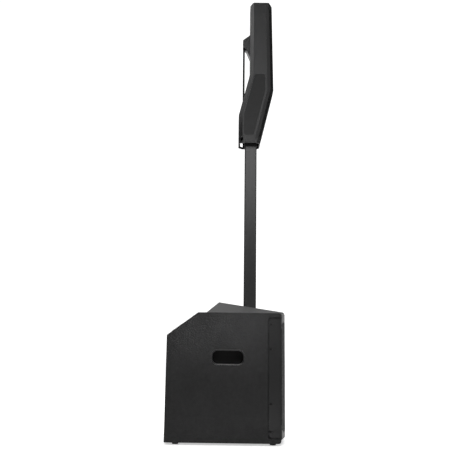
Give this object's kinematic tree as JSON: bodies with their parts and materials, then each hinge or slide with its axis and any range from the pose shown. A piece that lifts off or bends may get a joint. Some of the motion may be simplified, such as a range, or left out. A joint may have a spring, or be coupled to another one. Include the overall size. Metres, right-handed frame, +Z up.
{
  "type": "column pa system",
  "caption": "Column loudspeaker system: ported subwoofer with bowed grille and hipped top, rectangular pole, and a bent column array with a rear carrying handle.",
  "frame": {"origin": "on the floor, under the middle of the bounding box", "axes": "+Z up along the pole, -Y towards the audience (front grilles), +Y towards the control panel, X across the width"},
  "size_m": [0.443, 0.573, 2.304],
  "materials": {
    "board": "black textured structural paint on birch plywood",
    "raw_board": "dark stained plywood, unpainted inside",
    "housing": "moulded, fine texture",
    "array_case": "moulded, fine texture",
    "grille_steel": "black powder coat, perforated",
    "foam": "open-cell acoustic foam",
    "cast": "black powder coat",
    "pole_metal": "black anodised extrusion",
    "plate_steel": "black powder coat",
    "zinc_steel": "zinc plated sheet",
    "black_screw": "black oxide",
    "rubber": "moulded",
    "cone_paper": "coated paper fibre",
    "treated_cloth": "treated cloth",
    "basket": "black painted casting",
    "magnet": "ferrite with zinc plated plates",
    "connector": "glass-filled nylon",
    "gold_pin": "gold plated",
    "board_green": "printed circuit board with parts",
    "window": "clear over a dark display",
    "knob": "soft touch",
    "port_plastic": "moulded"
  },
  "bodies": {
    "subwoofer": {"side_panel_left": "board", "side_panel_right": "board", "bottom_panel": "board", "back_panel": "board", "top_panel": "raw_board", "baffle_board": "board", "cabinet_brace": "raw_board", "top_housing": "housing", "pole_socket": "cast", "socket_contacts": "connector", "sub_grille": "grille_steel", "sub_grille_foam": "foam", "sub_grille_screws": "black_screw", "handle_cup_left": "housing", "handle_cup_right": "housing", "handle_cup_screws": "black_screw", "rubber_feet": "rubber", "foot_screws": "black_screw", "housing_screws": "black_screw", "woofer_frame": "basket", "woofer_magnet": "magnet", "woofer_surround": "treated_cloth", "woofer_spider": "treated_cloth", "woofer_screws": "black_screw", "port_tubes": "port_plastic", "control_frame": "raw_board", "control_panel": "plate_steel", "amp_chassis": "zinc_steel", "amp_board": "board_green", "amp_heatsink": "cast", "display_window": "window", "encoder_body": "zinc_steel", "combo_jacks": "connector", "link_jack": "connector", "mains_inlet": "connector", "mains_pins": "zinc_steel", "power_switch_frame": "connector", "control_panel_screws": "black_screw"},
    "pole": {"pole_tube": "pole_metal", "pole_lower_plug": "connector", "pole_upper_plug": "connector", "pole_contacts": "gold_pin"},
    "array": {"array_shell": "array_case", "array_grille": "grille_steel", "array_grille_foam": "foam", "array_baffle": "housing", "array_driver_frames": "basket", "array_driver_cones": "cone_paper", "array_driver_magnets": "magnet", "array_base_plate": "plate_steel", "array_socket": "cast", "array_contacts": "connector", "array_base_screws": "black_screw", "handle_fairing": "array_case", "handle_bar": "array_case"},
    "encoder_rotor": {"encoder_rotor": "zinc_steel"},
    "encoder_knob": {"encoder_knob": "knob"},
    "power_rocker": {"power_rocker": "knob"},
    "woofer_cone": {"woofer_cone": "cone_paper", "woofer_dust_cap": "cone_paper"}
  },
  "joints": [
    {"name": "pole_lift", "type": "slide", "parent": "subwoofer", "child": "pole", "axis": [0, 0, 1], "range_m": [0, 0.15]},
    {"name": "array_lift", "type": "slide", "parent": "pole", "child": "array", "axis": [0, 0, 1], "range_m": [0, 0.12]},
    {"name": "encoder_turn", "type": "hinge", "parent": "subwoofer", "child": "encoder_rotor", "pos_m": [0.066, 0.18938, 0.56684], "axis": [0, 0.5947, 0.8039], "continuous": true},
    {"name": "encoder_push", "type": "slide", "parent": "encoder_rotor", "child": "encoder_knob", "axis": [0, -0.5947, -0.8039], "range_m": [0, 0.0006], "stiffness_N_per_m": 3000},
    {"name": "power_rocker_tip", "type": "hinge", "parent": "subwoofer", "child": "power_rocker", "pos_m": [-0.14, 0.23846, 0.52556], "axis": [1, 0, 0], "range_deg": [0, 14]},
    {"name": "woofer_travel", "type": "slide", "parent": "subwoofer", "child": "woofer_cone", "axis": [0, -1, 0], "range_m": [-0.008, 0.008], "stiffness_N_per_m": 3000}
  ]
}
